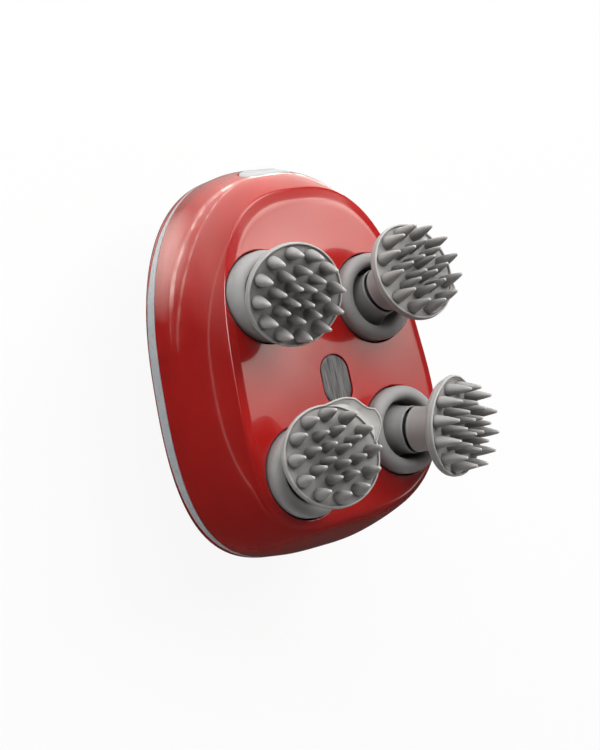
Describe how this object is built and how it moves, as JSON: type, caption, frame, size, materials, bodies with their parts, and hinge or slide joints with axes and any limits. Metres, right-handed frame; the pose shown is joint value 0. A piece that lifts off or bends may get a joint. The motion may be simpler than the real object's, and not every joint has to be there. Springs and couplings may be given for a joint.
{
  "type": "electric scalp massager",
  "caption": "Hand-held egg-shaped case with turning cups on its face, each carrying a leaning soft head of tapered spikes, driven by a worm; power button and covered charging socket.",
  "frame": {"origin": "middle of the small flat on the rounded back, which the case lies on", "axes": "+Z from the back to the face with the heads, +Y along the case to the end with the power button, +X to the column whose two heads are closer together"},
  "size_m": [0.0828, 0.1132, 0.0849],
  "materials": {
    "shell_red": "high-gloss moulded ABS",
    "trim_gray": "satin moulded plastic",
    "inlay_metal": "brushed along its length",
    "cup_silicone": "smooth matte silicone",
    "head_silicone": "smooth matte silicone",
    "button_gray": "satin",
    "screw_steel": "zinc plated",
    "black_rubber": "matte",
    "white_plastic": "natural acetal",
    "rotor_plastic": "glass-filled nylon",
    "bronze": "sintered, oiled",
    "worm_brass": "turned",
    "motor_steel": "drawn can",
    "cell_wrap": "shrink wrap",
    "board_green": "solder mask",
    "black_plastic": "moulded",
    "lead_red": "insulation"
  },
  "bodies": {
    "case": {"front_shell": "shell_red", "rear_shell": "shell_red", "trim_band": "trim_gray", "center_inlay": "inlay_metal", "center_screw": "screw_steel", "case_screws": "screw_steel", "shaft_seals": "black_rubber", "gearbox_frame": "white_plastic", "gearbox_cover": "white_plastic", "gearbox_screws": "screw_steel", "upper_bushes": "bronze", "lower_bushes": "bronze", "motor": "motor_steel", "worm_bush": "bronze", "battery": "cell_wrap", "battery_tray": "white_plastic", "main_board": "board_green", "switch_board": "board_green", "tact_switch": "black_plastic", "charge_jack": "black_plastic", "port_pin": "screw_steel", "battery_leads": "lead_red", "motor_leads": "lead_red"},
    "rotor_left_top": {"spindle_left_top": "rotor_plastic", "worm_wheel_left_top": "white_plastic", "cup_left_top": "cup_silicone", "head_left_top": "head_silicone", "spindle_clip_left_top": "screw_steel"},
    "rotor_right_top": {"spindle_right_top": "rotor_plastic", "worm_wheel_right_top": "white_plastic", "cup_right_top": "cup_silicone", "head_right_top": "head_silicone", "spindle_clip_right_top": "screw_steel"},
    "rotor_left_low": {"spindle_left_low": "rotor_plastic", "worm_wheel_left_low": "white_plastic", "cup_left_low": "cup_silicone", "head_left_low": "head_silicone", "spindle_clip_left_low": "screw_steel"},
    "rotor_right_low": {"spindle_right_low": "rotor_plastic", "worm_wheel_right_low": "white_plastic", "cup_right_low": "cup_silicone", "head_right_low": "head_silicone", "spindle_clip_right_low": "screw_steel"},
    "worm": {"worm_shaft": "worm_brass"},
    "button": {"power_button": "button_gray"},
    "cover": {"port_cover": "button_gray"}
  },
  "joints": [
    {"name": "left_top_spin", "type": "hinge", "parent": "case", "child": "rotor_left_top", "pos_m": [-0.0187, 0.0164, 0.05], "axis": [0, 0, 1], "continuous": true},
    {"name": "right_top_spin", "type": "hinge", "parent": "case", "child": "rotor_right_top", "pos_m": [0.0187, 0.0112, 0.05], "axis": [0, 0, 1], "continuous": true},
    {"name": "left_low_spin", "type": "hinge", "parent": "case", "child": "rotor_left_low", "pos_m": [-0.0187, -0.0334, 0.05], "axis": [0, 0, 1], "continuous": true},
    {"name": "right_low_spin", "type": "hinge", "parent": "case", "child": "rotor_right_low", "pos_m": [0.0187, -0.0282, 0.05], "axis": [0, 0, 1], "continuous": true},
    {"name": "worm_spin", "type": "hinge", "parent": "case", "child": "worm", "pos_m": [0, 0, 0.036], "axis": [0, 1, 0], "continuous": true},
    {"name": "button_press", "type": "slide", "parent": "case", "child": "button", "axis": [0, -0.9353, -0.3538], "range_m": [0, 0.0006], "stiffness_N_per_m": 600},
    {"name": "cover_hinge", "type": "hinge", "parent": "case", "child": "cover", "pos_m": [0, -0.05285, 0.01514], "axis": [1, 0, 0], "range_deg": [0, 100]}
  ],
  "couplings": [
    {"joint": "left_low_spin", "follows": "left_top_spin", "ratio": 1},
    {"joint": "right_top_spin", "follows": "left_top_spin", "ratio": -1},
    {"joint": "right_low_spin", "follows": "left_top_spin", "ratio": -1},
    {"joint": "worm_spin", "follows": "left_top_spin", "ratio": 30}
  ]
}
